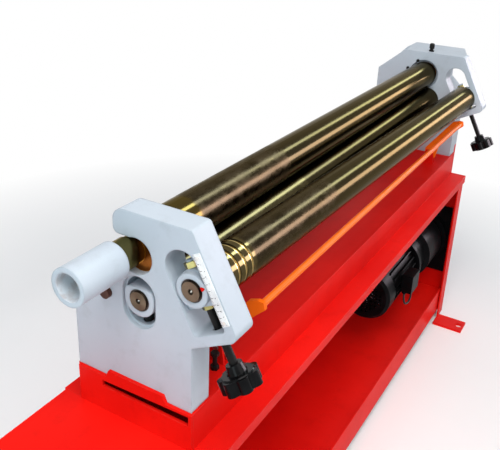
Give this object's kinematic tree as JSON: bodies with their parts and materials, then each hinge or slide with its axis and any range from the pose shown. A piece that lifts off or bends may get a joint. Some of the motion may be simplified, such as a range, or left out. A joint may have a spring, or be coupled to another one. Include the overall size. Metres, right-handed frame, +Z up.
{
  "type": "slip roll sheet bending machine",
  "caption": "Motor-driven three-roll sheet bending machine on a steel stand, with a swing-out top roll, a tilting bending roll set by star knobs, and a trip bar.",
  "frame": {"origin": "on the floor at the centre of the four anchor holes, below the middle of the top roll's axis", "axes": "+X along the rolls from the open near end to the drive end, +Y away from the operator, +Z up"},
  "size_m": [1.708, 0.49, 0.895],
  "materials": {
    "frame_paint": "satin paint on cast iron",
    "stand_paint": "gloss enamel",
    "trip_paint": "gloss enamel",
    "roll_steel": "ground and burnished, oiled",
    "plain_steel": "machined",
    "black_steel": "blackened",
    "zinc_yellow": "yellow zinc",
    "bronze": "bearing bronze",
    "knob_plastic": "moulded",
    "motor_paint": "semi-gloss black",
    "scale_white": "white with a printed scale",
    "cable_rubber": "matt black"
  },
  "bodies": {
    "stand": {"angle_scale": "scale_white", "beam_end_plate": "stand_paint", "bush_fittings": "black_steel", "cabinet_top": "stand_paint", "cable_glands": "knob_plastic", "chain_guard": "stand_paint", "fan_cover": "motor_paint", "far_end_frame": "frame_paint", "far_end_panel": "stand_paint", "floor_lugs": "stand_paint", "floor_tray": "stand_paint", "frame_bolts": "black_steel", "gear_cover": "frame_paint", "gearbox": "motor_paint", "gearbox_plate": "motor_paint", "latch_bolt": "black_steel", "motor_cable": "cable_rubber", "motor_housing": "motor_paint", "near_end_frame": "frame_paint", "near_end_panel": "stand_paint", "near_shelf": "stand_paint", "rear_panel": "stand_paint", "scale_screws": "plain_steel", "seat_saddle": "bronze", "stop_bolt": "black_steel", "terminal_box": "motor_paint", "terminal_lid": "motor_paint", "trip_brackets": "stand_paint", "trip_pins": "plain_steel", "upper_beam": "stand_paint"},
    "top_roll_swivel": {"top_roll_bush": "bronze"},
    "top_roll": {"top_roll": "roll_steel", "handle_tube": "frame_paint"},
    "top_gear": {"top_gear": "plain_steel"},
    "pinch_carriage": {"pinch_block_near": "frame_paint", "pinch_block_far": "frame_paint", "pinch_bush_near": "bronze", "pinch_bush_far": "bronze"},
    "pinch_screw_near": {"pinch_screw_near": "black_steel"},
    "pinch_screw_far": {"pinch_screw_far": "black_steel"},
    "pinch_roll": {"pinch_roll": "roll_steel", "pinch_gear": "plain_steel", "pinch_sprocket": "plain_steel"},
    "bending_slide": {"bending_block_far": "frame_paint", "block_nuts_far": "zinc_yellow"},
    "bending_carriage": {"bending_block_near": "frame_paint", "block_nuts_near": "zinc_yellow", "bending_bush_near": "bronze", "bending_bush_far": "bronze"},
    "bending_roll": {"bending_roll": "roll_steel"},
    "far_screw": {"adjusting_screw_far": "black_steel", "star_knob_far": "knob_plastic"},
    "near_screw": {"adjusting_screw_near": "black_steel", "star_knob_near": "knob_plastic"},
    "trip_bar": {"trip_rod": "trip_paint", "trip_arm_near": "trip_paint", "trip_arm_far": "trip_paint"},
    "motor_rotor": {"motor_fan": "motor_paint"},
    "drive_shaft": {"output_shaft": "plain_steel", "drive_sprocket": "plain_steel"}
  },
  "joints": [
    {"name": "top_roll_swing", "type": "hinge", "parent": "stand", "child": "top_roll_swivel", "pos_m": [0.6725, 0, 0.805], "axis": [0, 0, -1], "range_deg": [0, 2.6]},
    {"name": "top_roll_spin", "type": "hinge", "parent": "top_roll_swivel", "child": "top_roll", "pos_m": [0, 0, 0.805], "axis": [1, 0, 0], "continuous": true},
    {"name": "top_gear_spin", "type": "hinge", "parent": "stand", "child": "top_gear", "pos_m": [0.71, 0, 0.805], "axis": [1, 0, 0], "continuous": true},
    {"name": "pinch_lift", "type": "slide", "parent": "stand", "child": "pinch_carriage", "axis": [0, 0, 1], "range_m": [-0.004, 0.0015]},
    {"name": "pinch_roll_spin", "type": "hinge", "parent": "pinch_carriage", "child": "pinch_roll", "pos_m": [0, -0.018, 0.73], "axis": [1, 0, 0], "continuous": true},
    {"name": "pinch_screw_near_turn", "type": "hinge", "parent": "pinch_carriage", "child": "pinch_screw_near", "pos_m": [-0.6725, -0.018, 0.6], "axis": [0, 0, 1], "range_deg": [-725, 275]},
    {"name": "pinch_screw_far_turn", "type": "hinge", "parent": "pinch_carriage", "child": "pinch_screw_far", "pos_m": [0.6725, -0.018, 0.6], "axis": [0, 0, 1], "range_deg": [-725, 275]},
    {"name": "bending_lift", "type": "slide", "parent": "stand", "child": "bending_slide", "axis": [0, 0.4695, 0.8829], "range_m": [-0.001, 0.018]},
    {"name": "bending_tilt", "type": "hinge", "parent": "bending_slide", "child": "bending_carriage", "pos_m": [0.6725, -0.1257, 0.75178], "axis": [0, 0.8829, -0.4695], "range_deg": [-1.28, 0.09]},
    {"name": "bending_roll_spin", "type": "hinge", "parent": "bending_carriage", "child": "bending_roll", "pos_m": [0, -0.11865, 0.76503], "axis": [0.9998, -0.0105, -0.0197], "continuous": true},
    {"name": "far_screw_turn", "type": "hinge", "parent": "bending_slide", "child": "far_screw", "pos_m": [0.6725, -0.1257, 0.75178], "axis": [0, 0.4695, 0.8829], "range_deg": [-95, 1630]},
    {"name": "near_screw_turn", "type": "hinge", "parent": "bending_carriage", "child": "near_screw", "pos_m": [-0.6725, -0.11161, 0.77827], "axis": [0, 0.4695, 0.8829], "range_deg": [-2720, 190]},
    {"name": "trip_bar_swing", "type": "hinge", "parent": "stand", "child": "trip_bar", "pos_m": [0, -0.075, 0.598], "axis": [1, 0, 0], "range_deg": [0, 10], "stiffness_Nm_per_rad": 25, "springref_deg": -11.46},
    {"name": "motor_spin", "type": "hinge", "parent": "stand", "child": "motor_rotor", "pos_m": [0.24, -0.04, 0.272], "axis": [1, 0, 0], "continuous": true},
    {"name": "drive_shaft_spin", "type": "hinge", "parent": "stand", "child": "drive_shaft", "pos_m": [0.7, -0.04, 0.272], "axis": [1, 0, 0], "continuous": true}
  ],
  "couplings": [
    {"joint": "top_roll_spin", "follows": "pinch_roll_spin", "ratio": -1},
    {"joint": "top_gear_spin", "follows": "pinch_roll_spin", "ratio": -1},
    {"joint": "drive_shaft_spin", "follows": "pinch_roll_spin", "ratio": 1},
    {"joint": "motor_spin", "follows": "pinch_roll_spin", "ratio": 40},
    {"joint": "pinch_screw_near_turn", "follows": "pinch_lift", "rad_per_m": 3141.6},
    {"joint": "pinch_screw_far_turn", "follows": "pinch_lift", "rad_per_m": 3141.6},
    {"joint": "far_screw_turn", "follows": "bending_lift", "rad_per_m": 1570.8},
    {"joint": "near_screw_turn", "follows": "bending_tilt", "ratio": 2112.7}
  ]
}
